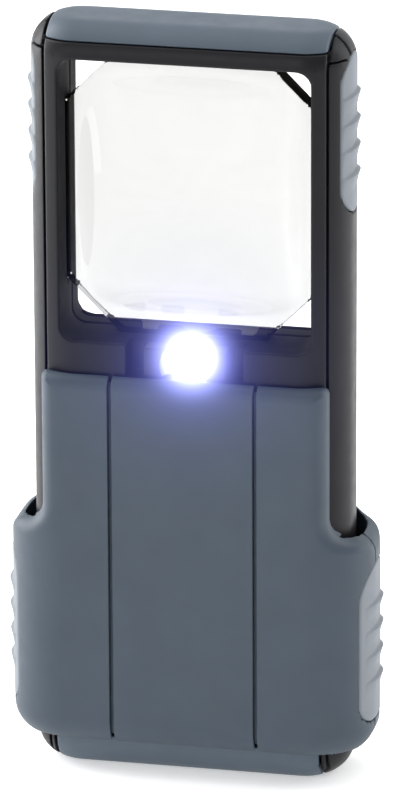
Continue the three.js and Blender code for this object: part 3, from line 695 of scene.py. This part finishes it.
def make_grips(name, side):
    upper_x = np.sort(side * ruler((18.2, 21.9, 0.14)))
    piece("upper_pad_" + name, "upper_grip_" + name, "body",
          grip(body_bar, UPPER, side, 0.02),
          upper_x, ruler((-4.1, 4.1, 0.17)), ruler((74.9, 96.5, 0.16)), GREY)
    lower_x = np.sort(side * ruler((19.8, 24.9, 0.16)))
    piece("lower_pad_" + name, "lower_grip_" + name, "sleeve",
          grip(sleeve_bar, LOWER, side, 0.04),
          lower_x, ruler((-5.2, 5.2, 0.16)), ruler((6.3, 28.5, 0.17)), GREY)


def make_optics():
    # The lens's edge is painted dark brown as shade at its top right corner and along the walls.
    piece("magnifying_lens", "lens", "body", lens,
          LENS_X_LINES, LENS_Y_LINES, LENS_Z_LINES, LENS, inner=(PAINTED_SHADE_LENS_RIM, lens_rim_for_painted_shade))
    piece("light_bulb", "led", "body", led,
          mirrored((0, 2.1, 0.14)), ruler((-6.5, 2.8, 0.14)), ruler((52.8, 56.8, 0.14)), LIT)
    piece("light_holder", "led_holder", "body", led_holder,
          mirrored((0, 5.7, 0.16)), ruler((-6.9, -0.3, 0.16)), ruler((52.2, 57.3, 0.16)), BLACK)


def make_moving_parts():
    piece("cell_door", "battery_door", "battery_door", battery_door,
          DOOR_X, DOOR_Y, DOOR_Z, BLUE_CAP)
    piece("cover_front", "front_cover", "sleeve", front_cover,
          SLEEVE_X, ruler((-8.9, -1.4, 0.25)), SLEEVE_Z, BLUE)
    piece("cover_rear", "rear_cover", "sleeve", rear_cover,
          SLEEVE_X, ruler((-1.7, 8.9, 0.25)), SLEEVE_Z, BLUE)


make_body()
make_grips("left", -1)
make_grips("right", 1)
make_optics()
make_moving_parts()

# ---------------------------------------------------------------- inner pieces keep their CAD mesh

JACKET_FOOT = 0.0060  # metres; the jacket starts above this height
JACKET_EDGE = 0.00005


def jacket():
    """A plain coloured foil jacket, with bare metal below its foot."""
    n = Nodes("cell_jacket")
    split = n.add("ShaderNodeSeparateXYZ")
    n.link(n.where, split.inputs["Vector"])
    covered = n.span(split.outputs["Z"], JACKET_FOOT, JACKET_FOOT + JACKET_EDGE, 0, 1)
    mottle = n.noise(500.0, 3.0)
    blue = n.ramp(mottle, [(0.3, (0.05, 0.11, 0.22)), (0.7, (0.06, 0.13, 0.26))])
    mix = n.add("ShaderNodeMix", data_type="RGBA")
    for socket in mix.inputs:
        if socket.name == "B" and socket.type == "RGBA":
            n.link(blue, socket)
        if socket.name == "A" and socket.type == "RGBA":
            socket.default_value = (0.55, 0.55, 0.56, 1)
    n.link(covered, mix.inputs["Factor"])
    out = [s for s in mix.outputs if s.type == "RGBA"][0]
    n.link(out, n.shader.inputs["Base Color"])
    n.link(n.span(mottle, 0.3, 0.7, 0.3, 0.42), n.shader.inputs["Roughness"])
    n.set(Metallic=0.6)
    return n.material


def board():
    """Solder mask over a fine weave."""
    n = Nodes("board_green")
    weave = n.noise(1500.0, 2.0)
    tint = n.ramp(weave, [(0.3, (0.02, 0.11, 0.05)), (0.7, (0.03, 0.16, 0.07))])
    n.link(tint, n.shader.inputs["Base Color"])
    n.link(n.bump(weave, 0.2, 0.00003), n.shader.inputs["Normal"])
    n.set(Roughness=0.35)
    return n.material


def dress(mat, *nodes):
    """Gives CAD nodes a material in place of their plain one."""
    for node in nodes:
        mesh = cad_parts[node].data
        mesh.materials.clear()
        mesh.materials.append(mat)


dress(board(), "circuit_board")
dress(moulded("resistor_body", (0.02, 0.02, 0.022), 0.5), "resistor")
dress(STEEL, "shell_screw_left", "shell_screw_right")
dress(jacket(), "battery_left", "battery_centre", "battery_right")
dress(NICKEL, "switch_pad_left", "switch_pad_right", "switch_bridge")
dress(NICKEL, "spring_left", "spring_centre", "spring_right")
dress(NICKEL, "contact_bottom_bridge", "contact_bottom_single", "contact_top_single", "contact_top_bridge")

# ---------------------------------------------------------------- stage, light and camera

# From here on, places and sizes are in metres and lights are in watts.
FLOOR_HALF = 6.0
COVE_START = 3.0
COVE_BEND = 1.0
COVE_RISE = 2.0
COVE_STEPS = 16


def floor():
    """A sheet of pale paper that curves up into a backdrop far behind the object."""
    mesh = bpy.data.meshes.new("floor")
    rows = [(-FLOOR_HALF, 0.0), (COVE_START, 0.0)]
    for i in range(1, COVE_STEPS + 1):
        a = math.pi / 2 * i / COVE_STEPS
        rows.append((COVE_START + COVE_BEND * math.sin(a), COVE_BEND * (1 - math.cos(a))))
    rows.append((COVE_START + COVE_BEND, COVE_BEND + COVE_RISE))
    verts = [(x, y, z) for y, z in rows for x in (-FLOOR_HALF, FLOOR_HALF)]
    faces = [(2 * i, 2 * i + 1, 2 * i + 3, 2 * i + 2) for i in range(len(rows) - 1)]
    mesh.from_pydata(verts, [], faces)
    mesh.shade_smooth()
    mesh.materials.append(paper())
    obj = bpy.data.objects.new("floor", mesh)
    bpy.context.scene.collection.objects.link(obj)


def paper():
    n = Nodes("floor_paper")
    grain = n.noise(300.0, 3.0)
    tint = n.ramp(grain, [(0.3, (0.9, 0.9, 0.9)), (0.7, (0.94, 0.94, 0.94))])
    n.link(tint, n.shader.inputs["Base Color"])
    n.set(
        Roughness=0.9, Specular_IOR_Level=0.1,
        Emission_Color=(1, 1, 1, 1), Emission_Strength=0.4,
    )
    return n.material


def area_light(name, place, aim, size, power):
    data = bpy.data.lights.new(name, "AREA")
    data.shape = "RECTANGLE"
    data.size, data.size_y = size
    data.energy = power
    obj = bpy.data.objects.new(name, data)
    obj.location = place
    obj.rotation_euler = (Vector(aim) - Vector(place)).to_track_quat("-Z", "Y").to_euler()
    bpy.context.scene.collection.objects.link(obj)


def studio():
    """A pale surround, a wide soft light above, a lit backdrop and small lights at the sides."""
    world = bpy.data.worlds.new("studio")
    world.use_nodes = True
    background = world.node_tree.nodes["Background"]
    background.inputs["Color"].default_value = (0.97, 0.98, 1.0, 1)
    background.inputs["Strength"].default_value = 0.42
    bpy.context.scene.world = world
    area_light("softbox_above", (0.0, 0.1, 0.85), (0, 0.05, 0), (1.6, 1.0), 5.5)
    area_light("backdrop_light", (0.0, 0.6, 1.3), (0, 3.6, 0.8), (1.8, 0.6), 45.0)
    area_light("softbox_left", (-0.38, 0.08, 0.2), (0, 0, 0.05), (0.25, 0.5), 2.7)
    area_light("softbox_right", (0.42, 0.2, 0.2), (0, 0, 0.05), (0.2, 0.5), 1.15)
    area_light("reflector_front", (-0.12, -0.6, 0.3), (0, 0, 0.09), (0.4, 0.14), 0.65)
    area_light("reflector_left", (-0.2, -0.2, 0.06), (0, 0, 0.06), (0.12, 0.25), 0.12)


AZIMUTH = math.radians(12.33)
ELEVATION = math.radians(19.4)
ROLL = math.radians(-0.287)
DISTANCE = 0.9644
AIM = Vector((0, 0, 0.04977))
SENSOR = 36
FOCAL_LENGTH = 336.98
SHIFT = (0.0057, -0.0005)


def aim_camera():
    scene = bpy.context.scene
    back = Vector((
        math.sin(AZIMUTH) * math.cos(ELEVATION),
        -math.cos(AZIMUTH) * math.cos(ELEVATION),
        math.sin(ELEVATION),
    ))
    camera = bpy.data.cameras.new("camera")
    camera.sensor_width = SENSOR
    camera.lens = FOCAL_LENGTH
    camera.shift_x, camera.shift_y = SHIFT
    camera.clip_end = 20
    view = bpy.data.objects.new("camera", camera)
    turn = back.to_track_quat("Z", "Y").to_matrix().to_4x4() @ Matrix.Rotation(ROLL, 4, "Z")
    view.matrix_world = Matrix.Translation(AIM + DISTANCE * back) @ turn
    scene.collection.objects.link(view)
    scene.camera = view
    scene.view_settings.view_transform = "Standard"


# The flare round the bright LED, from threshold, strength, size and tint.
GLARES = [
    (8.0, 1.0, 0.6, (0.32, 0.33, 1.0)),
    (8.0, 1.0, 0.15, (0.8, 0.82, 1.0)),
]


def camera_glare():
    """The camera's own flare round the bright LED: a white core and a violet-blue skirt."""
    scene = bpy.context.scene
    scene.use_nodes = True
    tree = scene.node_tree
    tree.nodes.clear()
    layers = tree.nodes.new("CompositorNodeRLayers")
    target = tree.nodes.new("CompositorNodeComposite")
    image = layers.outputs["Image"]
    for threshold, strength, size, tint in GLARES:
        glare = tree.nodes.new("CompositorNodeGlare")
        glare.glare_type = "BLOOM"
        glare.quality = "HIGH"
        glare.inputs["Threshold"].default_value = threshold
        glare.inputs["Strength"].default_value = strength
        glare.inputs["Size"].default_value = size
        glare.inputs["Tint"].default_value = (*tint, 1)
        tree.links.new(image, glare.inputs["Image"])
        image = glare.outputs["Image"]
    tree.links.new(image, target.inputs["Image"])


floor()
studio()
aim_camera()
camera_glare()
